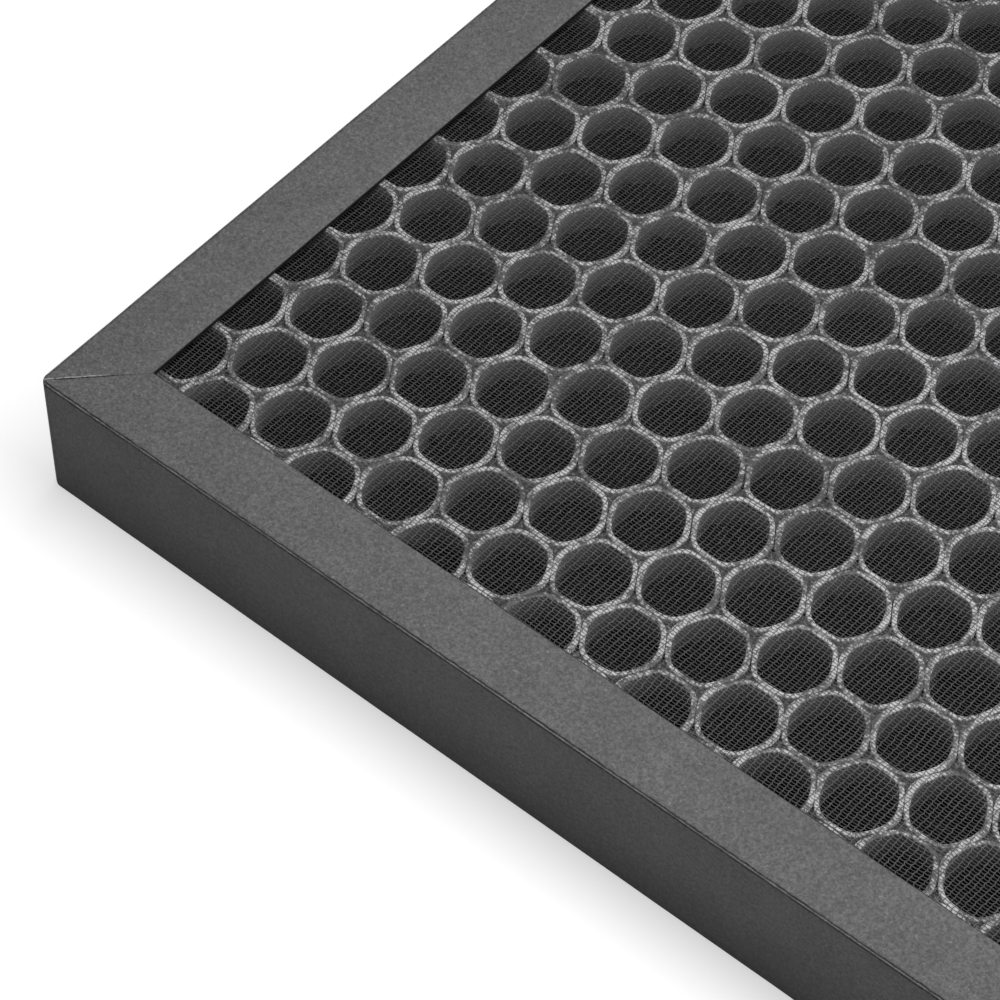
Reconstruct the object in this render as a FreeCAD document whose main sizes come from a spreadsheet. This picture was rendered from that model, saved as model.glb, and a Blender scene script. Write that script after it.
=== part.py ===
import FreeCAD, Part
import os

import Sketcher

# Honeycomb carbon filter panel of a room air purifier, lying flat with its upper side up.
# One long strip of dark paperboard is scored, mitred and folded into a channel round the
# core, and its ends are glued over a tab at the back right corner. In the channel lie a
# lower net, a honeycomb core whose cells hold loose carbon granules, and an upper net.
# Origin: middle of the panel, on the surface that it lies on. X runs along the front edge,
# Y from front to back, Z up. Sizes are in millimetres.

SIZES = [
    ("panel_width", 150.0, "outer size along X"),
    ("panel_length", 165.0, "outer size along Y"),
    ("panel_depth", 20.0, "outer size along Z"),
    ("board", 0.5, "thickness of the paperboard"),
    ("flange_width", 10.0, "how far each flange reaches in from the outer face"),
    ("corner_radius", 1.2, "outer radius of the upright folds at the corners"),
    ("fold_flat", 0.2, "narrow flat that scoring leaves along the folds from wall to flange"),
    ("mitre_gap", 0.2, "open seam where two flanges meet"),
    ("tab_length", 18.0, "glue tab behind the back wall"),
    ("seam_gap", 0.2, "open seam at the end of the back wall"),
    ("core_play", 0.1, "room between the core's sides and the glue tab"),
    ("cell_pitch", 10.5, "from cell to cell along Y"),
    ("column_pitch", 8.63, "from one column of cells to the next along X"),
    ("cell_wall", 1.33, "thickness of the core's walls"),
    ("first_column", 0.55, "first column's centre from the core's left side"),
    ("first_cell", 4.5, "centre of the second column's first cell from the core's front"),
    ("fill_drop", 2.8, "top of the granules below the rims of the cells"),
    ("net_thickness", 0.25, "thickness of each net"),
    ("net_bar", 0.5, "width of a bar of each net"),
    ("net_step", 5.25, "from one bar of each net to the next"),
    ("net_border", 8.0, "plain edge of each net, which the flanges hide"),
]
SMALLEST_CELL = 0.15  # a cut cell with a smaller share of a whole one is left out

doc = FreeCAD.newDocument("FilterPanel")


def make_sheet():
    """The driving dimensions, one row each: what it is, its value and its alias."""
    sheet = doc.addObject("Spreadsheet::Sheet", "sizes")
    for row, (alias, value, meaning) in enumerate(SIZES, start=1):
        sheet.set(f"A{row}", meaning)
        sheet.set(f"B{row}", str(value))
        sheet.setAlias(f"B{row}", alias)
    doc.recompute()
    return sheet


def origin_plane(body, role):
    """The body's own origin plane with that role, such as XY_Plane."""
    return next(f for f in body.Origin.OriginFeatures if f.Role == role)


def flat_sketch(body, name, height=None):
    """A sketch parallel to the floor, at a height given as an expression."""
    sketch = body.newObject("Sketcher::SketchObject", name)
    sketch.AttachmentSupport = (origin_plane(body, "XY_Plane"), [""])
    sketch.MapMode = "FlatFace"
    if height:
        sketch.setExpression("AttachmentOffset.Base.z", height)
    return sketch


def name_size(sketch, constraint, name, expression):
    """Adds a dimension to the sketch under a name and ties it to the sheet."""
    index = sketch.addConstraint(constraint)
    sketch.renameConstraint(index, name)
    sketch.setExpression("Constraints." + name, expression)


def add_rectangle(sketch, width, length):
    """A rectangle centred on the origin, with its two sizes given as expressions."""
    half_x, half_y = 40.0, 50.0
    corners = [(-half_x, -half_y), (half_x, -half_y), (half_x, half_y), (-half_x, half_y)]
    points = [FreeCAD.Vector(x, y, 0) for x, y in corners]
    for i in range(4):
        sketch.addGeometry(Part.LineSegment(points[i], points[(i + 1) % 4]), False)
    for i in range(4):
        sketch.addConstraint(Sketcher.Constraint("Coincident", i, 2, (i + 1) % 4, 1))
        sketch.addConstraint(Sketcher.Constraint("Vertical" if i % 2 else "Horizontal", i))
    sketch.addConstraint(Sketcher.Constraint("Symmetric", 0, 1, 2, 1, -1, 1))
    name_size(sketch, Sketcher.Constraint("DistanceX", 0, 1, 0, 2, 2 * half_x), "width", width)
    name_size(sketch, Sketcher.Constraint("DistanceY", 1, 1, 1, 2, 2 * half_y), "length", length)


def add_box_outline(sketch, left, right, front, back):
    """A rectangle whose four sides are expressions for their distance from the origin."""
    points = [FreeCAD.Vector(x, y, 0) for x, y in ((30, 40), (60, 40), (60, 70), (30, 70))]
    for i in range(4):
        sketch.addGeometry(Part.LineSegment(points[i], points[(i + 1) % 4]), False)
    for i in range(4):
        sketch.addConstraint(Sketcher.Constraint("Coincident", i, 2, (i + 1) % 4, 1))
        sketch.addConstraint(Sketcher.Constraint("Vertical" if i % 2 else "Horizontal", i))
    name_size(sketch, Sketcher.Constraint("DistanceX", -1, 1, 0, 1, 30), "left", left)
    name_size(sketch, Sketcher.Constraint("DistanceX", -1, 1, 0, 2, 60), "right", right)
    name_size(sketch, Sketcher.Constraint("DistanceY", -1, 1, 0, 1, 40), "front", front)
    name_size(sketch, Sketcher.Constraint("DistanceY", -1, 1, 2, 1, 70), "back", back)


def add_pad(body, name, sketch, length):
    pad = body.newObject("PartDesign::Pad", name)
    pad.Profile = sketch
    pad.setExpression("Length", length)
    doc.recompute()
    return pad


def add_pocket(body, name, sketch, length):
    """Cuts upwards from the sketch by a length given as an expression."""
    before = body.Shape.Volume
    pocket = body.newObject("PartDesign::Pocket", name)
    pocket.Profile = sketch
    pocket.Reversed = True
    pocket.setExpression("Length", length)
    doc.recompute()
    if not body.Shape.Volume < before:
        raise RuntimeError(name + " cut nothing")
    return pocket


def edge_names(shape, wanted):
    """Names of the edges for which wanted(edge) is true."""
    return [f"Edge{i}" for i, edge in enumerate(shape.Edges, start=1) if wanted(edge)]


def is_upright(edge):
    box = edge.BoundBox
    return box.ZLength > 1 and box.XLength < 1e-6 and box.YLength < 1e-6


def is_rim(edge):
    return edge.BoundBox.ZLength < 1e-6


def add_mitres(body, name, height):
    """Cuts the seam at each corner through one flange, from the outer corner to the window."""
    sketch = flat_sketch(body, name + "_outline", height)
    half_x = sizes.panel_width / 2
    half_y = sizes.panel_length / 2
    reach = sizes.flange_width + sizes.mitre_gap
    half_gap = sizes.mitre_gap / 2 * 2**0.5
    for side_x in (-1, 1):
        for side_y in (-1, 1):
            corner = FreeCAD.Vector(side_x * half_x, side_y * half_y, 0)
            inward = FreeCAD.Vector(-side_x, -side_y, 0)
            along_x = FreeCAD.Vector(half_gap, 0, 0)
            points = [
                corner - along_x,
                corner + along_x,
                corner + along_x + inward * reach,
                corner - along_x + inward * reach,
            ]
            first = sketch.GeometryCount
            for i in range(4):
                sketch.addGeometry(Part.LineSegment(points[i], points[(i + 1) % 4]), False)
            for i in range(4):
                sketch.addConstraint(
                    Sketcher.Constraint("Coincident", first + i, 2, first + (i + 1) % 4, 1)
                )
    return add_pocket(body, name, sketch, "sizes.board")


def make_frame():
    """The folded strip: walls, two flanges all round with mitred corners, and the glue tab."""
    body = doc.addObject("PartDesign::Body", "paperboard_frame")

    outline = flat_sketch(body, "outer_outline")
    add_rectangle(outline, "sizes.panel_width", "sizes.panel_length")
    block = add_pad(body, "outer_block", outline, "sizes.panel_depth")
    corners = body.newObject("PartDesign::Fillet", "corner_folds")
    corners.Base = (block, edge_names(block.Shape, is_upright))
    corners.setExpression("Radius", "sizes.corner_radius")
    doc.recompute()
    folds = body.newObject("PartDesign::Chamfer", "flange_folds")
    folds.Base = (corners, edge_names(corners.Shape, is_rim))
    folds.setExpression("Size", "sizes.fold_flat")

    channel = flat_sketch(body, "channel_outline", "sizes.board")
    add_rectangle(
        channel, "sizes.panel_width - 2 * sizes.board", "sizes.panel_length - 2 * sizes.board"
    )
    add_pocket(body, "channel", channel, "sizes.panel_depth - 2 * sizes.board")

    window = flat_sketch(body, "window_outline")
    add_rectangle(
        window,
        "sizes.panel_width - 2 * sizes.flange_width",
        "sizes.panel_length - 2 * sizes.flange_width",
    )
    add_pocket(body, "window", window, "sizes.panel_depth")

    add_mitres(body, "lower_mitres", None)
    add_mitres(body, "upper_mitres", "sizes.panel_depth - sizes.board")

    tab = flat_sketch(body, "tab_outline", "sizes.board")
    add_box_outline(
        tab,
        "sizes.panel_width / 2 - sizes.board - sizes.tab_length",
        "sizes.panel_width / 2 - sizes.board",
        "sizes.panel_length / 2 - 2 * sizes.board",
        "sizes.panel_length / 2 - sizes.board",
    )
    add_pad(body, "glue_tab", tab, "sizes.panel_depth - 2 * sizes.board")

    seam = flat_sketch(body, "seam_outline", "sizes.board")
    add_box_outline(
        seam,
        "sizes.panel_width / 2 - sizes.corner_radius - sizes.seam_gap",
        "sizes.panel_width / 2 - sizes.corner_radius",
        "sizes.panel_length / 2 - sizes.board",
        "sizes.panel_length / 2 + sizes.board",
    )
    add_pocket(body, "closing_seam", seam, "sizes.panel_depth - 2 * sizes.board")
    return body


def core_corners():
    """Lowest and highest X and Y of the core and the nets."""
    inset = 2 * sizes.board + sizes.core_play
    half_x = sizes.panel_width / 2 - inset
    half_y = sizes.panel_length / 2 - inset
    return -half_x, half_x, -half_y, half_y


def rectangle(left, right, front, back):
    """A closed wire on the floor."""
    corners = [(left, front), (right, front), (right, back), (left, back), (left, front)]
    return Part.makePolygon([FreeCAD.Vector(x, y, 0) for x, y in corners])


def cell_outline(x, y):
    """Six-sided hole of the cell centred at x, y, a half wall inside the borders it shares."""
    pitch, column = sizes.cell_pitch, sizes.column_pitch
    slant = (column**2 + pitch**2 / 4) ** 0.5
    to_flat = (pitch - sizes.cell_wall) / 2
    to_slant = (slant - sizes.cell_wall) / 2
    point_x = to_slant * slant / column
    flat_x = (to_slant * slant - to_flat * pitch / 2) / column
    corners = [
        (point_x, 0),
        (flat_x, to_flat),
        (-flat_x, to_flat),
        (-point_x, 0),
        (-flat_x, -to_flat),
        (flat_x, -to_flat),
        (point_x, 0),
    ]
    return Part.makePolygon([FreeCAD.Vector(x + dx, y + dy, 0) for dx, dy in corners])


def cell_faces():
    """Faces of the whole cells and of the cells that the core's sides cut through."""
    left, right, front, back = core_corners()
    core_face = Part.Face(rectangle(left, right, front, back))
    whole, cut = [], []
    columns = int((right - left) / sizes.column_pitch) + 2
    rows = int((back - front) / sizes.cell_pitch) + 3
    for column in range(columns):
        x = left + sizes.first_column + column * sizes.column_pitch
        shift = sizes.first_cell - (sizes.cell_pitch / 2 if column % 2 == 0 else 0)
        for row in range(-1, rows):
            y = front + shift + row * sizes.cell_pitch
            face = Part.Face(cell_outline(x, y))
            box = face.BoundBox
            if left < box.XMin and box.XMax < right and front < box.YMin and box.YMax < back:
                whole.append(face)
                continue
            kept = face.common(core_face)
            if kept.Area > SMALLEST_CELL * face.Area:
                cut.append(kept.Faces[0])
    return whole, cut


def make_core(whole, cut):
    """The honeycomb: a block with a hole for each cell, notched where its sides cut cells."""
    outline = Part.Face(rectangle(*core_corners()))
    outline = max(outline.cut(cut).Faces, key=lambda face: face.Area).OuterWire
    pattern = doc.addObject("Part::Feature", "cell_pattern")
    pattern.Shape = Part.makeFace(
        [outline] + [face.OuterWire for face in whole], "Part::FaceMakerBullseye"
    )
    core = doc.addObject("Part::Extrusion", "honeycomb_core")
    core.Base = pattern
    core.DirMode = "Custom"
    core.Dir = FreeCAD.Vector(0, 0, 1)
    core.setExpression(
        "LengthFwd", "sizes.panel_depth - 2 * sizes.board - 2 * sizes.net_thickness"
    )
    core.setExpression("Placement.Base.z", "sizes.board + sizes.net_thickness")
    return core


def make_granules(whole):
    """The loose carbon: one plug of granules in each whole cell, resting on the lower net."""
    pattern = doc.addObject("Part::Feature", "fill_pattern")
    pattern.Shape = Part.makeCompound(whole)
    fill = doc.addObject("Part::Extrusion", "carbon_granules")
    fill.Base = pattern
    fill.DirMode = "Custom"
    fill.Dir = FreeCAD.Vector(0, 0, 1)
    fill.setExpression(
        "LengthFwd",
        "sizes.panel_depth - 2 * sizes.board - 2 * sizes.net_thickness - sizes.fill_drop",
    )
    fill.setExpression("Placement.Base.z", "sizes.board + sizes.net_thickness")
    return fill


def make_net(name, height):
    """A net over the core: a plain edge and bars from front to back, at the given height."""
    left, right, front, back = core_corners()
    gaps = int((right - left - 2 * sizes.net_border) / sizes.net_step)
    first = -(gaps * sizes.net_step - sizes.net_bar) / 2
    wires = [rectangle(left, right, front, back)]
    for i in range(gaps):
        start = first + i * sizes.net_step
        end = start + sizes.net_step - sizes.net_bar
        wires.append(
            rectangle(start, end, front + sizes.net_border, back - sizes.net_border)
        )
    pattern = doc.addObject("Part::Feature", name + "_pattern")
    pattern.Shape = Part.makeFace(wires, "Part::FaceMakerBullseye")
    net = doc.addObject("Part::Extrusion", name)
    net.Base = pattern
    net.DirMode = "Custom"
    net.Dir = FreeCAD.Vector(0, 0, 1)
    net.setExpression("LengthFwd", "sizes.net_thickness")
    net.setExpression("Placement.Base.z", height)
    return net


def check(objects):
    """Stops if any object of the document failed or any sub-part has no valid solid."""
    for thing in doc.Objects:
        if "Invalid" in thing.State or "Error" in thing.State:
            raise RuntimeError(f"{thing.Label} failed: {thing.State}")
    for thing in objects:
        shape = thing.Shape
        if shape.isNull() or not shape.isValid() or not shape.Solids:
            raise RuntimeError(thing.Label + " has no valid solid")


sizes = make_sheet()
frame = make_frame()
whole_cells, cut_cells = cell_faces()
subparts = [
    frame,
    make_net("lower_net", "sizes.board"),
    make_core(whole_cells, cut_cells),
    make_granules(whole_cells),
    make_net("upper_net", "sizes.panel_depth - sizes.board - sizes.net_thickness"),
]
doc.recompute()
check(subparts)

os.makedirs("parts", exist_ok=True)
for subpart in subparts:
    subpart.Shape.exportStep(f"parts/{subpart.Label}.step")
    print(subpart.Label, len(subpart.Shape.Solids), "solids", round(subpart.Shape.Volume), "mm3")
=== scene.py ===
import math
import random

import bmesh
import bpy
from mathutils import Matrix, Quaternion, Vector, noise


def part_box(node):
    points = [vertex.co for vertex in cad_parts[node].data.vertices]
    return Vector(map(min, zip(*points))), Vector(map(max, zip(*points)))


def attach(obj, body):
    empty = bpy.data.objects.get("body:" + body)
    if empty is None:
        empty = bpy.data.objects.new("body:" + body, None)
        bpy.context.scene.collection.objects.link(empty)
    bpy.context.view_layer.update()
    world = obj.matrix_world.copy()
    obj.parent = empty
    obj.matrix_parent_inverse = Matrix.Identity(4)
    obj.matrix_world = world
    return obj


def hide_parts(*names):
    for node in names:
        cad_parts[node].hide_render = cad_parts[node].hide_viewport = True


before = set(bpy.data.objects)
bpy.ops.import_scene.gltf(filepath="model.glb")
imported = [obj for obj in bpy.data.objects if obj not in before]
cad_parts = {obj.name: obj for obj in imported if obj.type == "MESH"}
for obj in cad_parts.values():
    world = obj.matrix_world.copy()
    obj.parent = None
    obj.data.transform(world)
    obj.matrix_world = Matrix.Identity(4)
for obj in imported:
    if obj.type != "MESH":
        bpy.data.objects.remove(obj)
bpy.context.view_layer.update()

# A honeycomb carbon filter panel of a room air purifier, lying on a white table: a folded
# paperboard frame round a honeycomb whose cells hold carbon granules between two nets.
# X runs along the front edge, Y from front to back, Z up. Sizes are in metres. Tones go
# from 0 for black to 1 for white, and a pair of tones is the darkest and the palest.

mm = 0.001

# Board of the frame
BOARD = 0.5 * mm
CORNER_RADIUS = 1.2 * mm
FLANGE_WIDTH = 10 * mm
SCORE_PLACE = 0.31 * mm  # scored grooves, from the panel's edge
SCORE_WIDTH = 0.2 * mm
SCORE_DEPTH = 0.1 * mm
CORNER_SCORE = 1.2 * mm  # upright scored lines, from the panel's corners
MITRE_GAP = 0.15 * mm  # half the open seam between two flanges, at its outer end
MITRE_CLOSED = 5.5 * mm  # how far in the seam closes
MITRE_TOUCH = 0.002 * mm  # half the seam further in
MITRE_DROP = 0.2 * mm  # how far the front and back flanges sink at their mitred ends
DROP_START = 0.7 * mm  # where they start to sink, from the panel's edge
SEAM_GAP = 0.2 * mm  # the strip's closing seam, in the back wall
SEAM_DEPTH = 0.45 * mm
TAB_LENGTH = 18 * mm
WAVINESS = 0.09 * mm  # how far the board is out of true
LONG_WAVE = 14 * mm
SHORT_WAVE = 4 * mm
COLUMN_STEP = 2.5 * mm  # from one column of the strip's mesh to the next
END_OFFSETS = (0.0, 0.02, 0.18, 0.2, 0.6, 1.2)  # first columns at a side's ends, in mm
ARC_STEPS = 4  # columns round each half of a corner
SKIN_FADE = (0.16 * mm, 0.26 * mm)  # depth at which a flange's or wall's own looks fade
RAGGEDNESS = 0.26 * mm  # how far the drawn edges of grooves and seams wander
BOARD_TONES = (0.088, 0.19)
FLECK_TONE = 0.08  # added by pale flecks
PAINTED_WALL_LIGHT_AND_SHADE = (0.79, 1.19)  # painted shade low on the walls and painted light high on them, as shares of the board's tone
PAINTED_GROOVE_SHADE = 0.22  # painted shade: share of the board's tone in a groove
PAINTED_BEAD_HIGHLIGHT = 1.45  # painted highlight: share of the board's tone on the bead between two grooves
FRAY_TONE = 0.42  # fibres along the open part of the mitres
PAINTED_CUT_EDGE_SHADE = 0.012  # painted shade: the flanges' cut edges, near black

# Honeycomb
CELL_PITCH = 10.5 * mm  # from cell to cell along Y
COLUMN_PITCH = 8.63 * mm  # from column to column along X
FIRST_COLUMN = 0.55 * mm  # first column's centre from the core's left side
FIRST_CELL = 4.5 * mm  # second column's first cell from the core's front
HOLE_SHARE = 0.885  # the hole's share of a cell's width
HOLE_REACH = 4.8 * mm  # blunts the holes' corners along X
ROUNDNESS = 8.5  # a higher power makes the cells more six-sided
RING_WIDTH = 0.64 * mm
RING_WIDENING = 0.25 * mm  # added at a ring's left and right ends
RING_GAP = 0.01 * mm  # from a ring to its cell's border
PAINTED_WALL_SHADE_DEPTH = 3.5 * mm  # painted shade: the walls darken down to this depth below the rims
GAP_FLOOR = 0.9 * mm  # floor of the gaps between three rings, below the rims
GAP_REACH = 1.5 * mm  # from a floor's middle to its three tips
EDGE_STEPS = 6  # points along each of a cell's six borders
SIZE_SPREAD = (-0.02, 0.005)  # how far a hole is from its full size, as shares of it
OVAL_SPREAD = 0.015  # and at most how oval
LOBE_SPREAD = 0.012  # and how three-sided
SEED_STRIDE = 7919  # between the random seeds of places 0.01 mm apart along X
CORE_TONES = (0.09, 0.2)  # painted shade deep in a cell, and the plastic's own tone at its rim
CORE_SPOTS = 0.02  # added by spots of glue
PAINTED_GAP_SHADE_TONES = (0.04, 0.07)  # the same for the gaps between rings, darker as painted shade
GAP_SPOTS = 0.3
GLUE_TONES = (0.09, 0.6)  # thin and thick glue on the rims
GLUE_REACH = 0.17 * mm  # how far glue reaches down from the rims

# Granules
GRANULE_RADIUS = 0.85 * mm
GRANULES_ABOVE = 24  # granules on top of each cell's plug
GRANULES_BELOW = 10  # and on its underside
GRANULE_DEPTH = 0.75 * mm  # their middles, inside the fill's upper and lower side
GRANULE_INSET = 0.7 * mm  # outermost middles from the hole's outline
PLUG_TOP = 1.3 * mm  # the plug's top and bottom, inside the fill
PLUG_BOTTOM = 0.6 * mm
LOWER_SCALE = 1.2  # size of the lower granules against the upper ones
HEAP_SLOPE = 0.11  # usual slope of a cell's upper granules
CARBON_TONES = (0.004, 0.012)
DUST_TONE = 0.03  # added by grey dust

# Nets
NET_CLEARANCE = 0.05 * mm  # from the rims to the net
NET_DIP = 0.4 * mm  # about how far the net hangs into a hole
NET_SAG = 0.1 * mm  # and into the gap between two rings
INNER_DROP = 0.06 * mm  # how far the net bends down at a ring's inner edge
OUTER_DROP = 0.03 * mm  # and at its outer edge
WALE_PITCH = 0.786 * mm
COURSE_PITCH = 0.431 * mm
WALE_HALF = (0.045, 0.125)  # where a wale fades, in wale pitches from its middle
COURSE_HALF = (0.09, 0.06)  # half width of each first and second course, in course pitches
COURSE_FADE = 0.09  # and how far it fades beyond that
COURSE_COVER = 0.78  # how much a course hides of what lies behind it
YARN_TONES = (0.045, 0.085)
GLUED_YARN_TONES = (0.06, 0.16)

# Camera, light and table, from the photo
CAMERA_PLACE = Vector((166.04, -283.83, 386.96)) * mm
CAMERA_TARGET = Vector((-19.86, -59.93, 19.5)) * mm
CAMERA_ROLL = math.radians(0.417)
CAMERA_LENS = 140.44  # focal length and sensor width, in mm
CAMERA_SENSOR = 36
LAMP_PLACE = Vector((48, -14, 240)) * mm
LAMP_LENGTH = 330 * mm  # along X
LAMP_WIDTH = 145 * mm
LAMP_WATTS = 0.62
SKY_STRENGTH = 0.13
FLOOR_TONE = 0.74
FLOOR_LIFT = 0.58  # what the camera sees of the floor beyond its own light
FLOOR_REACH = 2.0  # half the table's width
FLOOR_CLEARANCE = 0.02 * mm  # from the table to the panel

board_low, board_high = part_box("paperboard_frame")
core_low, core_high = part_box("honeycomb_core")
fill_low, fill_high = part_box("carbon_granules")
HALF_X = (board_high.x - board_low.x) / 2
HALF_Y = (board_high.y - board_low.y) / 2
MIDDLE_Z = (board_high.z + board_low.z) / 2
HALF_Z = (board_high.z - board_low.z) / 2


# Shader nodes

def new_material(name):
    """A material with its node tree and shader."""
    material = bpy.data.materials.new(name)
    material.use_nodes = True
    tree = material.node_tree
    return material, tree, tree.nodes["Principled BSDF"]


def plug(tree, socket, value):
    """Links an output to the socket, or sets a plain value there."""
    if isinstance(value, bpy.types.NodeSocket):
        tree.links.new(value, socket)
    else:
        socket.default_value = value


def calculate(tree, operation, first, second=None):
    """The output of a Math node."""
    node = tree.nodes.new("ShaderNodeMath")
    node.operation = operation
    plug(tree, node.inputs[0], first)
    if second is not None:
        plug(tree, node.inputs[1], second)
    return node.outputs["Value"]


def add(tree, first, second):
    return calculate(tree, "ADD", first, second)


def subtract(tree, first, second):
    return calculate(tree, "SUBTRACT", first, second)


def multiply(tree, first, second):
    return calculate(tree, "MULTIPLY", first, second)


def largest(tree, first, *others):
    """The largest of some values."""
    for other in others:
        first = calculate(tree, "MAXIMUM", first, other)
    return first


def object_place(tree):
    return tree.nodes.new("ShaderNodeTexCoord").outputs["Object"]


def split(tree, vector):
    node = tree.nodes.new("ShaderNodeSeparateXYZ")
    plug(tree, node.inputs["Vector"], vector)
    return node.outputs["X"], node.outputs["Y"], node.outputs["Z"]


def from_centre(tree, value, centre=0.0):
    """Distance from a plane."""
    if centre:
        value = subtract(tree, value, centre)
    return calculate(tree, "ABSOLUTE", value)


def noise_of(tree, place, size, detail):
    """Noise from 0 to 1 with features about as large as size."""
    node = tree.nodes.new("ShaderNodeTexNoise")
    plug(tree, node.inputs["Vector"], place)
    node.inputs["Scale"].default_value = 1 / size
    node.inputs["Detail"].default_value = detail
    return node.outputs["Fac"]


def stretch(tree, factor, low, high, to_low=0.0, to_high=1.0):
    """Maps the range from low to high smoothly onto another."""
    node = tree.nodes.new("ShaderNodeMapRange")
    node.interpolation_type = "SMOOTHSTEP"
    plug(tree, node.inputs["Value"], factor)
    plug(tree, node.inputs["From Min"], low)
    plug(tree, node.inputs["From Max"], high)
    plug(tree, node.inputs["To Min"], to_low)
    plug(tree, node.inputs["To Max"], to_high)
    return node.outputs["Result"]


def vary(tree, tone, pattern, share):
    """The tone, darker or paler by up to that share of it."""
    return multiply(tree, tone, stretch(tree, pattern, 0.3, 0.7, 1 - share, 1 + share))


def line_at(tree, value, centre, half_width):
    """1 along a line where the value is that of the centre, 0 beside it."""
    return stretch(tree, from_centre(tree, value, centre), half_width * 0.3, half_width, 1.0, 0.0)


def blend_tones(tree, factor, first, second):
    """A tone between two others."""
    return add(tree, multiply(tree, subtract(tree, 1.0, factor), first), multiply(tree, factor, second))


def paint(tree, shader, tone):
    """Gives the shader a grey of that tone."""
    node = tree.nodes.new("ShaderNodeCombineColor")
    for channel in ("Red", "Green", "Blue"):
        plug(tree, node.inputs[channel], tone)
    plug(tree, shader.inputs["Base Color"], node.outputs["Color"])


def bump(tree, shader, height, distance, strength):
    """Gives the shader's surface a fine relief."""
    node = tree.nodes.new("ShaderNodeBump")
    node.inputs["Distance"].default_value = distance
    node.inputs["Strength"].default_value = strength
    plug(tree, node.inputs["Height"], height)
    plug(tree, shader.inputs["Normal"], node.outputs["Normal"])


# Materials

class BoardPlace:
    """Node outputs that say where on the folded board a point is."""

    def __init__(self, tree):
        self.place = object_place(tree)
        x, y, self.z = split(tree, self.place)
        self.inset_x = subtract(tree, HALF_X, from_centre(tree, x))
        self.inset_y = subtract(tree, HALF_Y, from_centre(tree, y))
        self.inset = calculate(tree, "MINIMUM", self.inset_x, self.inset_y)
        self.below = subtract(tree, HALF_Z, from_centre(tree, self.z, MIDDLE_Z))
        self.past_mitre = subtract(tree, self.inset_y, self.inset_x)
        self.on_flange = stretch(tree, self.below, *SKIN_FADE, 1.0, 0.0)
        self.on_wall = stretch(tree, self.inset, *SKIN_FADE, 1.0, 0.0)
        wander = subtract(tree, noise_of(tree, self.place, 1.3 * mm, 3.0), 0.5)
        self.ragged = multiply(tree, wander, RAGGEDNESS)
        self.ragged_inset = add(tree, self.inset, self.ragged)
        self.ragged_below = add(tree, self.below, self.ragged)


def plain_board(tree, at, speckle, flecks):
    """Tone of the board away from its grooves and edges. Painted shade darkens the walls downwards, and
    painted light makes them paler near the top.
    """
    mottle = noise_of(tree, at.place, 0.65 * mm, 2.0)
    clouds = noise_of(tree, at.place, 7 * mm, 2.0)
    tone = stretch(tree, speckle, 0.22, 0.78, *BOARD_TONES)
    tone = add(tree, tone, stretch(tree, flecks, 0.68, 0.78, 0.0, FLECK_TONE))
    tone = vary(tree, tone, mottle, 0.12)
    tone = vary(tree, tone, clouds, 0.06)
    # Painted shade low on the walls, painted light high on them
    painted_wall_light = stretch(tree, at.z, 2 * mm, 18 * mm, *PAINTED_WALL_LIGHT_AND_SHADE)
    return multiply(tree, tone, blend_tones(tree, at.on_wall, 1.0, painted_wall_light))


def scored_board(tree, at):
    """1 in the grooves along the folds and beside the upright corners, 0 elsewhere: where painted shade
    darkens the board.

    The grooves are fainter on the left and right flanges than on the front and back ones.
    """
    faint = stretch(tree, at.past_mitre, -0.2 * mm, 0.2 * mm, 1.0, 0.5)
    flange_score = line_at(tree, at.ragged_inset, SCORE_PLACE, SCORE_WIDTH * 0.85)
    flange_score = multiply(tree, multiply(tree, flange_score, at.on_flange), faint)
    wall_score = line_at(tree, at.ragged_below, SCORE_PLACE, SCORE_WIDTH * 0.75)
    wall_score = multiply(tree, multiply(tree, wall_score, at.on_wall), 0.85)
    from_corner = add(tree, largest(tree, at.inset_x, at.inset_y), at.ragged)
    corner_score = line_at(tree, from_corner, CORNER_SCORE, SCORE_WIDTH * 0.6)
    corner_score = multiply(tree, multiply(tree, corner_score, at.on_wall), 0.8)
    # Painted shade along the grooves, broken up by noise
    patchy_shade = stretch(tree, noise_of(tree, at.place, 1.6 * mm, 2.0), 0.38, 0.6, 0.7, 1.0)
    return multiply(tree, largest(tree, flange_score, wall_score, corner_score), patchy_shade)


def frayed_board(tree, at, flecks):
    """1 on the fibres that stand out along the open part of a mitre, 0 elsewhere."""
    crooked = add(tree, at.past_mitre, multiply(tree, at.ragged, 1.6))
    frayed = line_at(tree, crooked, 0.18 * mm, 0.2 * mm)
    frayed = multiply(tree, frayed, stretch(tree, at.inset, 4.5 * mm, 6.5 * mm, 1.0, 0.0))
    frayed = multiply(tree, frayed, stretch(tree, flecks, 0.38, 0.5))
    return multiply(tree, frayed, at.on_flange)


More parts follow.
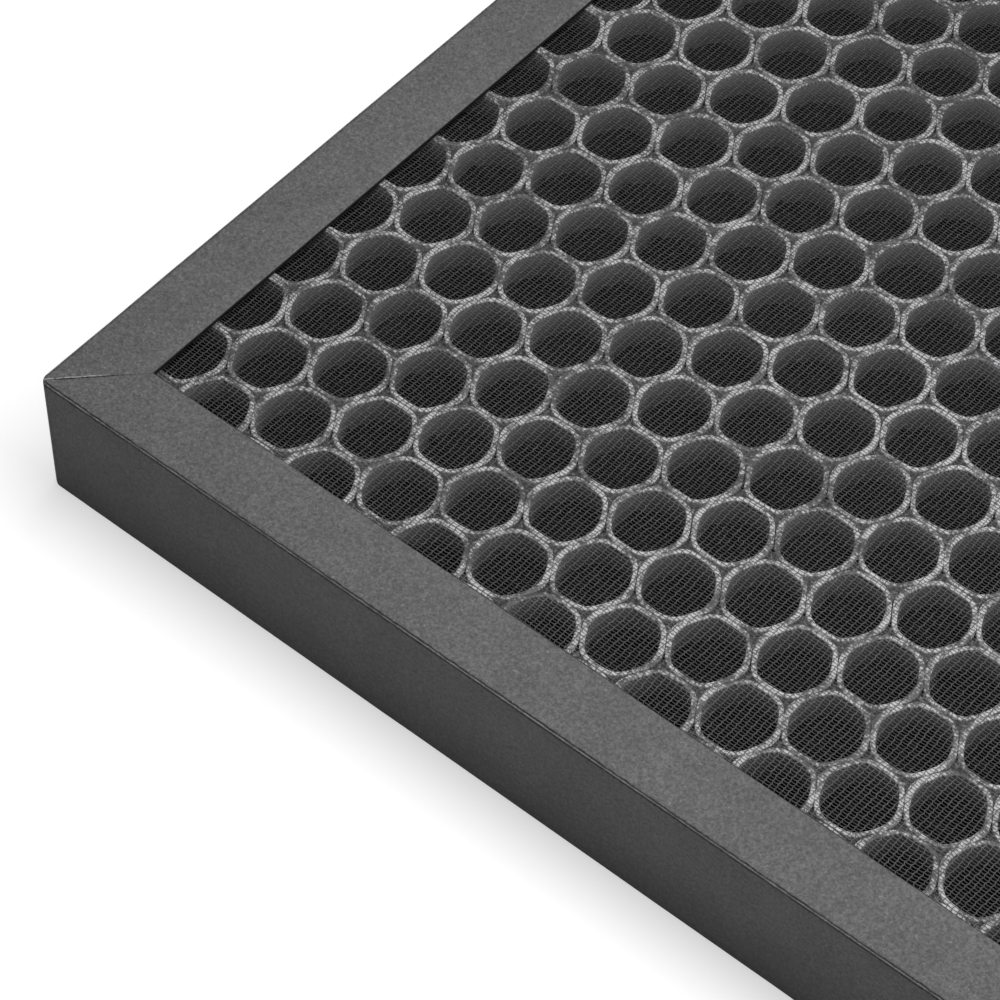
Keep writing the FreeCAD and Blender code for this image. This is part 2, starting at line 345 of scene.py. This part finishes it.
def board_material():
    """Dark grey paperboard: fibre speckle, painted shade in the scored grooves and a painted highlight
    on the bead between them, cut edges frayed at the mitres, and painted shade that makes the flanges'
    inner cut edges dark.
    """
    material, tree, shader = new_material("board")
    at = BoardPlace(tree)
    speckle = noise_of(tree, at.place, 0.28 * mm, 3.0)
    flecks = noise_of(tree, at.place, 0.45 * mm, 1.0)
    # Painted highlight on the bead at the fold's crest
    bead = stretch(
        tree,
        largest(tree, at.ragged_inset, at.ragged_below),
        SCORE_PLACE - SCORE_WIDTH,
        SCORE_PLACE - SCORE_WIDTH / 2,
        PAINTED_BEAD_HIGHLIGHT,
        1.0,
    )
    # Painted shade in the grooves
    groove = stretch(tree, scored_board(tree, at), 0.0, 1.0, 1.0, PAINTED_GROOVE_SHADE)
    tone = plain_board(tree, at, speckle, flecks)
    tone = multiply(tree, multiply(tree, tone, bead), groove)
    tone = blend_tones(tree, frayed_board(tree, at, flecks), tone, FRAY_TONE)
    # Painted shade: the flanges' inner cut edges near black
    cut_edge = stretch(tree, at.inset, FLANGE_WIDTH - 0.1 * mm, FLANGE_WIDTH - 0.04 * mm)
    paint(tree, shader, blend_tones(tree, cut_edge, tone, PAINTED_CUT_EDGE_SHADE))
    plug(tree, shader.inputs["Roughness"], stretch(tree, speckle, 0.3, 0.7, 0.7, 0.85))
    shader.inputs["Specular IOR Level"].default_value = 0.3
    bump(tree, shader, speckle, 0.03 * mm, 0.6)
    return material


def core_material(name, tones, spots):
    """Dark moulded plastic with pale, uneven glue on the rims, where the nets are stuck, and painted
    shade that darkens the walls deeper in a cell.
    """
    material, tree, shader = new_material(name)
    place = object_place(tree)
    from_middle = from_centre(tree, split(tree, place)[2], MIDDLE_Z)
    grain = noise_of(tree, place, 0.3 * mm, 3.0)
    patches = noise_of(tree, place, 3 * mm, 2.0)
    blobs = noise_of(tree, place, 0.42 * mm, 2.0)
    rim = (core_high.z - core_low.z) / 2
    ragged = add(tree, from_middle, multiply(tree, grain, 0.16 * mm))
    glued = stretch(tree, ragged, rim - GLUE_REACH, rim - 0.03 * mm)
    # Painted shade: the walls darker the deeper they are below the rim
    plastic = stretch(tree, ragged, rim - PAINTED_WALL_SHADE_DEPTH, rim, *tones)
    plastic = add(tree, plastic, stretch(tree, blobs, 0.54, 0.66, 0.0, spots))
    glue = stretch(tree, add(tree, patches, blobs), 0.8, 1.17, *GLUE_TONES)
    paint(tree, shader, blend_tones(tree, glued, plastic, glue))
    plug(tree, shader.inputs["Roughness"], stretch(tree, glued, 0.0, 1.0, 0.6, 0.4))
    shader.inputs["Specular IOR Level"].default_value = 0.3
    bump(tree, shader, grain, 0.05 * mm, 0.5)
    return material


def granule_material():
    """Black carbon with a little grey dust."""
    material, tree, shader = new_material("granules")
    place = object_place(tree)
    pores = noise_of(tree, place, 0.3 * mm, 4.0)
    grains = noise_of(tree, place, 1.6 * mm, 1.0)
    tone = stretch(tree, grains, 0.4, 0.7, *CARBON_TONES)
    paint(tree, shader, add(tree, tone, stretch(tree, pores, 0.64, 0.74, 0.0, DUST_TONE)))
    shader.inputs["Specular IOR Level"].default_value = 0.03
    plug(tree, shader.inputs["Roughness"], stretch(tree, pores, 0.3, 0.7, 0.6, 0.9))
    bump(tree, shader, pores, 0.1 * mm, 0.8)
    return material


def knit(tree, place, x, y):
    """1 on the net's yarn, 0 in its openings.

    Wavy wales run from front to back, and courses tie them. Each second course is thinner.
    """
    drift = subtract(tree, noise_of(tree, place, 9 * mm, 1.0), 0.5)
    wobble = subtract(tree, noise_of(tree, place, 1.1 * mm, 1.0), 0.5)

    courses = add(tree, calculate(tree, "DIVIDE", y, COURSE_PITCH), multiply(tree, drift, 1.6))
    wave = calculate(tree, "COSINE", multiply(tree, courses, math.pi))
    wales = calculate(tree, "DIVIDE", x, WALE_PITCH)
    wales = add(tree, wales, multiply(tree, drift, 1.2))
    wales = add(tree, wales, multiply(tree, wobble, 0.4))
    wales = add(tree, wales, multiply(tree, wave, 0.075))
    beside_wale = calculate(tree, "PINGPONG", wales, 0.5)
    uneven = stretch(tree, noise_of(tree, place, 0.8 * mm, 1.0), 0.3, 0.7, 0.65, 1.0)
    wale = multiply(tree, stretch(tree, beside_wale, *WALE_HALF, 1.0, 0.0), uneven)

    second = calculate(tree, "PINGPONG", courses, 1.0)
    half = stretch(tree, second, 0.2, 0.8, *COURSE_HALF)
    curved = add(tree, courses, multiply(tree, beside_wale, 0.3))
    beside_course = calculate(tree, "PINGPONG", curved, 0.5)
    course = stretch(tree, beside_course, half, add(tree, half, COURSE_FADE), 1.0, 0.0)
    return largest(tree, wale, multiply(tree, course, COURSE_COVER))


def net_material():
    """Fine knitted net of dark yarn, pale where it is glued on the rims."""
    material, tree, shader = new_material("net")
    place = object_place(tree)
    x, y, z = split(tree, place)
    thread = knit(tree, place, x, y)
    plug(tree, shader.inputs["Alpha"], thread)
    fibre = noise_of(tree, place, 0.25 * mm, 1.0)
    patches = noise_of(tree, place, 2 * mm, 2.0)
    from_middle = from_centre(tree, z, MIDDLE_Z)
    rest = core_high.z - MIDDLE_Z + NET_CLEARANCE
    glued = stretch(tree, from_middle, rest - GLUE_REACH, rest - 0.04 * mm)
    yarn = stretch(tree, fibre, 0.3, 0.7, *YARN_TONES)
    patches = add(tree, patches, multiply(tree, fibre, 0.6))
    glued_yarn = stretch(tree, patches, 0.55, 1.05, *GLUED_YARN_TONES)
    paint(tree, shader, blend_tones(tree, glued, yarn, glued_yarn))
    plug(tree, shader.inputs["Roughness"], stretch(tree, fibre, 0.3, 0.7, 0.45, 0.6))
    bump(tree, shader, thread, 0.05 * mm, 0.4)
    return material


def floor_material():
    """White table. The part that the camera sees is lifted so that it shows as white."""
    material, tree, shader = new_material("table")
    shader.inputs["Base Color"].default_value = (FLOOR_TONE, FLOOR_TONE, FLOOR_TONE, 1)
    shader.inputs["Roughness"].default_value = 0.9
    shader.inputs["Specular IOR Level"].default_value = 0.0
    path = tree.nodes.new("ShaderNodeLightPath").outputs
    rays = (path["Is Camera Ray"], path["Is Glossy Ray"], path["Is Transmission Ray"])
    shader.inputs["Emission Color"].default_value = (1, 1, 1, 1)
    lift = multiply(tree, largest(tree, *rays), FLOOR_LIFT)
    plug(tree, shader.inputs["Emission Strength"], lift)
    return material


# Meshes and pieces

def add_object(name, data):
    """Puts a mesh, lamp or camera into the scene."""
    made = bpy.data.objects.new(name, data)
    bpy.context.scene.collection.objects.link(made)
    return made


def add_piece(name, mesh, material, slot, *nodes):
    """Shows the mesh in place of the frame's own nodes."""
    piece = add_object(name, mesh)
    mesh.materials.append(material)
    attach(piece, "root")
    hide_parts(*nodes)
    return piece


def flat_mesh(bm, name):
    """Turns the bmesh into a mesh with flat faces."""
    mesh = bpy.data.meshes.new(name)
    bm.to_mesh(mesh)
    bm.free()
    return mesh


def smooth_mesh(bm, name, sharp_angle):
    """Turns the bmesh into a mesh, smooth except where faces meet at a sharper angle."""
    mesh = flat_mesh(bm, name)
    mesh.shade_smooth()
    mesh.set_sharp_from_angle(angle=math.radians(sharp_angle))
    return mesh


def add_row(bm, points):
    """New vertices at some (place in the plan, height)."""
    return [bm.verts.new((place.x, place.y, height)) for place, height in points]


def bridge(bm, here, there):
    """Faces between two rows of vertices."""
    for i in range(len(here) - 1):
        bm.faces.new((here[i], here[i + 1], there[i + 1], there[i]))


def add_prism(bm, outline, low, high, end_slot=0):
    """An upright prism on an anticlockwise outline. Its ends take that slot's material."""
    lower = add_row(bm, [(place, low) for place in outline])
    upper = add_row(bm, [(place, high) for place in outline])
    bm.faces.new(upper).material_index = end_slot
    bm.faces.new(list(reversed(lower))).material_index = end_slot
    for i in range(len(outline)):
        j = (i + 1) % len(outline)
        bm.faces.new((lower[i], lower[j], upper[j], upper[i]))


def clip_to(bm, low, high, fill):
    """Cuts off what reaches over the four sides of a box."""
    sides = [
        (low, Vector((-1, 0, 0))),
        (low, Vector((0, -1, 0))),
        (high, Vector((1, 0, 0))),
        (high, Vector((0, 1, 0))),
    ]
    for place, outward in sides:
        cut = bmesh.ops.bisect_plane(
            bm,
            geom=bm.verts[:] + bm.edges[:] + bm.faces[:],
            plane_co=place,
            plane_no=outward,
            clear_outer=True,
        )
        if fill:
            edges = [g for g in cut["geom_cut"] if isinstance(g, bmesh.types.BMEdge)]
            bmesh.ops.holes_fill(bm, edges=edges)


# Board

def fold_half():
    """Outer skin from wall to flange, as (inset, depth below the top) in mm.

    Scoring leaves a groove on each side of the fold and a round bead between them.
    """
    score = SCORE_PLACE / mm
    half = SCORE_WIDTH / mm / 2
    depth = SCORE_DEPTH / mm
    return [
        (0.00, score + 3 * half),
        (0.01, score + half),
        (depth, score),
        (0.03, score - half),
        (0.06, 0.08),
        (0.11, 0.03),
        (score - half, 0.01),
        (score, depth),
        (score + half, 0.01),
        (score + 3 * half, 0.00),
    ]


def flange_half():
    """The rest of the flange in mm: its upper side, its cut edge and its underside."""
    edge = FLANGE_WIDTH / mm
    board = BOARD / mm
    rounding = 0.05
    along = [2.0, 4.5, 7.5, edge - rounding]
    upper_side = [(inset, 0.0) for inset in along]
    cut_edge = [(edge, rounding), (edge, board - rounding)]
    underside = [(inset, board) for inset in [*reversed(along), 1.0]]
    return upper_side + cut_edge + underside


def inner_half():
    """Inner skin of the fold, in mm."""
    return [(0.62, 0.58), (0.50, 0.80)]


def strip_section():
    """Closed section of the folded strip, as (inset, height, is flange)."""
    height = board_high.z - board_low.z
    upper = [(inset, depth, False) for inset, depth in fold_half()]
    upper += [(inset, depth, True) for inset, depth in flange_half()]
    upper += [(inset, depth, False) for inset, depth in inner_half()]
    section = [(inset * mm, height - depth * mm, flange) for inset, depth, flange in upper]
    section += [(inset * mm, depth * mm, flange) for inset, depth, flange in reversed(upper)]
    return section


def side_columns(length):
    """Columns along a side as (end, offset from that end, angle round the corner)."""
    arc = [math.radians(45) * i / ARC_STEPS for i in range(ARC_STEPS, 0, -1)]
    offsets = [offset * mm for offset in END_OFFSETS]
    while offsets[-1] < length / 2 - FLANGE_WIDTH - 2 * COLUMN_STEP:
        offsets.append(offsets[-1] + COLUMN_STEP)
    first = [(-1, 0.0, angle) for angle in arc]
    first += [(-1, offset, 0.0) for offset in offsets]
    last = [(1, offset, angle) for end, offset, angle in reversed(first)]
    return first + last


def mitre_gap(inset):
    """Half the seam between two flanges: open at its outer end, closed further in."""
    closed = min(1.0, inset / MITRE_CLOSED)
    return MITRE_GAP * (1 - closed) ** 1.5 + MITRE_TOUCH


def side_point(length, is_flange, inset, column):
    """Where a column meets a line of the section: (along the side, in from its face)."""
    end, offset, angle = column
    if inset >= CORNER_RADIUS:
        along = length / 2 - inset - offset
        into = inset
    else:
        radius = CORNER_RADIUS - inset
        along = length / 2 - CORNER_RADIUS - offset + radius * math.sin(angle)
        into = CORNER_RADIUS - radius * math.cos(angle)
    if is_flange and offset == 0:
        along -= mitre_gap(inset)
    return end * along, into


def mitre_drop(inset, offset):
    """How far a flange that lies under its neighbour's cut edge has sunk near the mitre."""
    outwards = max(0.0, 1 - inset / FLANGE_WIDTH)
    near_fold = min(1.0, max(0.0, (inset - DROP_START) / mm))
    return MITRE_DROP * (0.05 + 0.95 * outwards) * near_fold * math.exp(-offset / mm)


def bend(x, y, height):
    """Pushes a point of the strip a little inwards, because no folded board is true."""
    place = Vector((x, y, height))
    push = 0.5 + 0.5 * noise.noise(place / LONG_WAVE)
    push += 0.25 * noise.noise(place / SHORT_WAVE)
    push = WAVINESS * min(1.0, max(0.0, push))
    return x * (1 - push / HALF_X), y * (1 - push / HALF_Y), height


def make_side(bm, section, length, to_xy, sinks, has_seam):
    """One side of the strip, from corner to corner.

    Its flanges may sink at their mitred ends, and its wall may have the closing seam.
    """
    count = len(section)
    rows = []
    for column in side_columns(length):
        end, offset, angle = column
        in_seam = has_seam and end < 0 and 0 < offset < SEAM_GAP and angle == 0
        row = []
        for inset, height, is_flange in section:
            along, into = side_point(length, is_flange, inset, column)
            if sinks and is_flange:
                drop = mitre_drop(inset, offset)
                height += -drop if height > MIDDLE_Z else drop
            on_wall = inset < 0.02 * mm and BOARD < height < board_high.z - BOARD
            if on_wall and in_seam:
                into += SEAM_DEPTH
            row.append(bm.verts.new(bend(*to_xy(along, into), height)))
        rows.append(row)
    for here, there in zip(rows, rows[1:]):
        for i in range(count):
            j = (i + 1) % count
            bm.faces.new((here[i], there[i], there[j], here[j]))
    flanges = [i for i in range(count) if section[i][2]]
    half = len(flanges) // 2
    for part in (flanges[:half], flanges[half:]):
        around = [part[0] - 1, *part, part[-1] + 1]
        bm.faces.new([rows[0][i] for i in around])
        bm.faces.new([rows[-1][i] for i in reversed(around)])


def make_board():
    """The folded strip as one mesh, open at its mitres and grooved at its closing seam."""
    section = strip_section()
    bm = bmesh.new()
    front = (2 * HALF_X, lambda along, into: (along, into - HALF_Y))
    right = (2 * HALF_Y, lambda along, into: (HALF_X - into, along))
    back = (2 * HALF_X, lambda along, into: (-along, HALF_Y - into))
    left = (2 * HALF_Y, lambda along, into: (into - HALF_X, -along))
    for side in (front, right, back, left):
        make_side(bm, section, *side, sinks=side in (front, back), has_seam=side is back)
    bmesh.ops.remove_doubles(bm, verts=bm.verts[:], dist=0.0002 * mm)
    bmesh.ops.dissolve_degenerate(bm, edges=bm.edges[:], dist=0.0001 * mm)
    add_tab(bm)
    bmesh.ops.recalc_face_normals(bm, faces=bm.faces[:])
    mesh = smooth_mesh(bm, "folded_board", sharp_angle=50)
    add_piece("folded_board", mesh, board_material(), "board", "paperboard_frame")


def add_tab(bm):
    """The glue tab behind the back wall, at the closing seam."""
    made = bmesh.ops.create_cube(bm, size=1.0)["verts"]
    depth = board_high.z - 2 * BOARD
    for vertex in made:
        vertex.co.x = HALF_X - BOARD - TAB_LENGTH * (0.5 - vertex.co.x)
        vertex.co.y = HALF_Y - BOARD * (1.5 - vertex.co.y)
        vertex.co.z = MIDDLE_Z + vertex.co.z * depth


# Cells

NEIGHBOURS = [
    (0, CELL_PITCH),
    (COLUMN_PITCH, CELL_PITCH / 2),
    (COLUMN_PITCH, -CELL_PITCH / 2),
    (0, -CELL_PITCH),
    (-COLUMN_PITCH, -CELL_PITCH / 2),
    (-COLUMN_PITCH, CELL_PITCH / 2),
]


def cell_corners():
    """Corners of the border that a cell shares with its six neighbours, anticlockwise."""
    middle = COLUMN_PITCH / 2
    shift = CELL_PITCH**2 / (8 * COLUMN_PITCH)
    return [
        Vector((middle + shift, 0)),
        Vector((middle - shift, CELL_PITCH / 2)),
        Vector((shift - middle, CELL_PITCH / 2)),
        Vector((-middle - shift, 0)),
        Vector((shift - middle, -CELL_PITCH / 2)),
        Vector((middle - shift, -CELL_PITCH / 2)),
    ]


def cell_border():
    """Points along the border, anticlockwise, the same ones as the neighbours have."""
    corners = cell_corners()
    points = []
    for i, corner in enumerate(corners):
        following = corners[(i + 1) % len(corners)]
        points += [corner.lerp(following, step / EDGE_STEPS) for step in range(EDGE_STEPS)]
    return points


def hole_radius(angle):
    """Radius of the hole's outline, six-sided with round corners."""
    total = 0.0
    for dx, dy in NEIGHBOURS:
        half = math.hypot(dx, dy) / 2 * HOLE_SHARE
        facing = math.cos(angle - math.atan2(dy, dx))
        if facing > 0:
            total += (facing / half) ** ROUNDNESS
    total += (abs(math.cos(angle)) / HOLE_REACH) ** ROUNDNESS
    return total ** (-1 / ROUNDNESS)


BORDER = cell_border()
ANGLES = [math.atan2(point.y, point.x) for point in BORDER]
HOLE = [hole_radius(angle) for angle in ANGLES]


class Cell:
    """A cell's centre and the outlines of its hole and ring, slightly uneven."""

    def __init__(self, centre):
        self.centre = centre
        x, y = round(centre.x / mm * 100), round(centre.y / mm * 100)
        self.random = random.Random(x * SEED_STRIDE + y)
        size = 1 + self.random.uniform(*SIZE_SPREAD)
        oval = self.random.uniform(0, OVAL_SPREAD)
        turn = self.random.uniform(0, math.pi)
        lobes = self.random.uniform(0, LOBE_SPREAD)
        lobe_turn = self.random.uniform(0, math.pi)
        self.hole = []
        self.outer = []
        for angle, hole, point in zip(ANGLES, HOLE, BORDER):
            uneven = oval * math.cos(2 * (angle - turn)) + lobes * math.cos(3 * (angle - lobe_turn))
            outward = Vector((math.cos(angle), math.sin(angle)))
            inner = hole * (size + uneven)
            width = RING_WIDTH + RING_WIDENING * abs(math.cos(angle)) ** 8
            outer = min(inner + width, point.length - RING_GAP)
            self.hole.append(centre + outward * inner)
            self.outer.append(centre + outward * outer)
        self.border = [centre + point for point in BORDER]

    def is_whole(self):
        """True if none of the core's sides cuts the hole."""
        return all(
            core_low.x < p.x < core_high.x and core_low.y < p.y < core_high.y
            for p in self.hole
        )


def make_cells():
    """All cells that reach into the core, column by column."""
    cells = []
    column = 0
    x = core_low.x + FIRST_COLUMN
    while x < core_high.x:
        y = core_low.y + FIRST_CELL
        if column % 2 == 0:
            y -= CELL_PITCH / 2
        while y - CELL_PITCH / 2 < core_high.y:
            cells.append(Cell(Vector((x, y))))
            y += CELL_PITCH
        column += 1
        x += COLUMN_PITCH
    return cells


def ring_section():
    """Section of a ring's wall: (share from hole to outer outline, height)."""
    low, high = core_low.z, core_high.z
    return [
        (0.0, low + 0.15 * mm),
        (0.0, high - 0.15 * mm),
        (0.1, high - 0.04 * mm),
        (0.25, high),
        (0.85, high),
        (1.0, high - 0.06 * mm),
        (1.0, low + 0.06 * mm),
        (0.85, low),
        (0.25, low),
    ]


def make_honeycomb(cells):
    """A ring for each cell, side by side, and floors in the gaps between three rings."""
    bm = bmesh.new()
    section = ring_section()
    for cell in cells:
        rows = []
        for hole, outer in zip(cell.hole, cell.outer):
            points = [(hole.lerp(outer, share), height) for share, height in section]
            rows.append(add_row(bm, points))
        for here, there in zip(rows, rows[1:] + rows[:1]):
            bridge(bm, here + here[:1], there + there[:1])
    for cell in cells:
        add_gap_floors(bm, cell)
    clip_to(bm, core_low, core_high, fill=True)
    bmesh.ops.recalc_face_normals(bm, faces=bm.faces[:])
    mesh = smooth_mesh(bm, "honeycomb", sharp_angle=60)
    plastic = core_material("core", CORE_TONES, CORE_SPOTS)
    piece = add_piece("honeycomb", mesh, plastic, "core", "honeycomb_core")
    # The gap floors' ends take a darker copy of the plastic as painted shade
    mesh.materials.append(core_material("core_gaps_painted_shade", PAINTED_GAP_SHADE_TONES, GAP_SPOTS))
    return piece


def add_gap_floors(bm, cell):
    """Three-sided blocks that close the gaps at the cell's left and right corners."""
    low, high = core_low.z + GAP_FLOOR, core_high.z - GAP_FLOOR
    corners = cell_corners()
    for corner, start in ((corners[0], 0.0), (corners[3], math.pi)):
        centre = cell.centre + corner
        spokes = [start + math.radians(turn) for turn in (0, 120, 240)]
        tips = [centre + Vector((math.cos(a), math.sin(a))) * GAP_REACH for a in spokes]
        add_prism(bm, tips, low, high, end_slot=1)


# Granules

def rough_ball():
    """Points and faces of a ball with twenty sides."""
    ball = bmesh.new()
    bmesh.ops.create_icosphere(ball, subdivisions=1, radius=1)
    points = [v.co.copy() for v in ball.verts]
    faces = [[v.index for v in face.verts] for face in ball.faces]
    ball.free()
    return points, faces


def add_granule(bm, shape, place, size, source):
    """One angular granule: the rough ball, turned and squashed. None reaches below the fill."""
    turn = Quaternion(Vector((source.gauss(0, 1), source.gauss(0, 1), 1)), source.uniform(0, 6))
    squash = Vector((source.uniform(0.75, 1.1), source.uniform(0.7, 1.0), source.uniform(0.6, 0.9)))
    points, faces = shape
    made = []
    for point in points:
        uneven = point * source.uniform(0.85, 1.15)
        offset = turn @ Vector((uneven.x * squash.x, uneven.y * squash.y, uneven.z * squash.z))
        point = place + offset * size
        made.append(bm.verts.new((point.x, point.y, max(point.z, fill_low.z))))
    for face in faces:
        bm.faces.new([made[i] for i in face])


def add_layer(bm, shape, cell, number, height, scale, slope):
    """Granules spread in a spiral over a cell's hole, at about that height."""
    source = cell.random
    reach = min(HOLE) - GRANULE_INSET
    golden_turn = math.pi * (3 - math.sqrt(5))
    first_turn = source.uniform(0, 6)
    for i in range(number):
        out = reach * math.sqrt((i + 0.5) / number)
        turn = first_turn + golden_turn * i + source.uniform(-0.25, 0.25)
        size = GRANULE_RADIUS * source.uniform(0.8, 1.15) * scale
        aside = Vector((out * math.cos(turn), out * math.sin(turn)))
        middle = height + slope.dot(aside) + source.uniform(-0.45, 0.1) * mm
        place = Vector((cell.centre.x + aside.x, cell.centre.y + aside.y, middle))
        add_granule(bm, shape, place, size, source)


def make_granules(cells):
    """Loose granules over a plug in each whole cell, and under it."""
    bm = bmesh.new()
    shape = rough_ball()
    level = Vector((0, 0))
    for cell in cells:
        if not cell.is_whole():
            continue
        add_prism(bm, cell.hole[::2], fill_low.z + PLUG_BOTTOM, fill_high.z - PLUG_TOP)
        slope = Vector((cell.random.gauss(0, HEAP_SLOPE), cell.random.gauss(0, HEAP_SLOPE)))
        add_layer(bm, shape, cell, GRANULES_ABOVE, fill_high.z - GRANULE_DEPTH, 1.0, slope)
        add_layer(bm, shape, cell, GRANULES_BELOW, fill_low.z + GRANULE_DEPTH, LOWER_SCALE, level)
    mesh = flat_mesh(bm, "granules")
    add_piece("granules", mesh, granule_material(), "granules", "carbon_granules")


# Nets

def make_net(cells, name, node, rim, outward, material):
    """A net over the rims at that height, hanging a little into each hole."""
    low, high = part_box(node)
    rest = rim + outward * NET_CLEARANCE
    bm = bmesh.new()
    for cell in cells:
        centre = cell.centre
        dip = NET_DIP * cell.random.uniform(0.5, 1.2)
        middle = bm.verts.new((centre.x, centre.y, rest - outward * dip))
        rows = []
        for hole, outer, border in zip(cell.hole, cell.outer, cell.border):
            sag = min(NET_SAG, (border - outer).length / 2)
            drops = [
                (centre.lerp(hole, 0.5), dip * 0.75),
                (centre.lerp(hole, 0.85), dip * 0.3 + INNER_DROP),
                (hole.lerp(outer, 0.05), INNER_DROP),
                (hole.lerp(outer, 0.35), 0.0),
                (hole.lerp(outer, 0.65), 0.0),
                (outer, OUTER_DROP),
                (border, OUTER_DROP + sag),
            ]
            rows.append(add_row(bm, [(place, rest - outward * drop) for place, drop in drops]))
        for here, there in zip(rows, rows[1:] + rows[:1]):
            bm.faces.new((middle, here[0], there[0]))
            bridge(bm, here, there)
    bmesh.ops.remove_doubles(bm, verts=bm.verts[:], dist=0.005 * mm)
    clip_to(bm, low, high, fill=False)
    mesh = smooth_mesh(bm, name, sharp_angle=180)
    piece = add_piece(name, mesh, material, "net", node)


# Surroundings

def make_floor():
    """The table that the panel lies on."""
    bm = bmesh.new()
    bmesh.ops.create_grid(bm, x_segments=1, y_segments=1, size=FLOOR_REACH)
    mesh = flat_mesh(bm, "table")
    mesh.materials.append(floor_material())
    floor = add_object("table", mesh)
    floor.location.z = board_low.z - FLOOR_CLEARANCE


def make_light():
    """One soft lamp above the panel and a faint even sky."""
    lamp = bpy.data.lights.new("softbox", "AREA")
    lamp.shape = "RECTANGLE"
    lamp.size = LAMP_LENGTH
    lamp.size_y = LAMP_WIDTH
    lamp.energy = LAMP_WATTS
    holder = add_object("softbox", lamp)
    holder.location = LAMP_PLACE
    holder.visible_camera = False
    world = bpy.data.worlds.new("sky")
    world.use_nodes = True
    background = world.node_tree.nodes["Background"]
    background.inputs["Color"].default_value = (1, 1, 1, 1)
    background.inputs["Strength"].default_value = SKY_STRENGTH
    bpy.context.scene.world = world


def make_camera():
    """The photo's camera, which looks down on the front left part from the front right."""
    data = bpy.data.cameras.new("camera")
    data.sensor_width = CAMERA_SENSOR
    data.lens = CAMERA_LENS
    data.clip_start = 10 * mm
    camera = add_object("camera", data)
    camera.location = CAMERA_PLACE
    camera.rotation_mode = "QUATERNION"
    aim = (CAMERA_TARGET - CAMERA_PLACE).to_track_quat("-Z", "Y")
    camera.rotation_quaternion = aim @ Quaternion((0, 0, 1), CAMERA_ROLL)
    bpy.context.scene.camera = camera


bpy.context.scene.view_settings.view_transform = "Standard"
make_camera()
make_floor()
make_light()
make_board()
all_cells = make_cells()
honeycomb = make_honeycomb(all_cells)
make_granules(all_cells)
net = net_material()
make_net(all_cells, "net_above", "upper_net", core_high.z, 1, net)
make_net(all_cells, "net_below", "lower_net", core_low.z, -1, net)
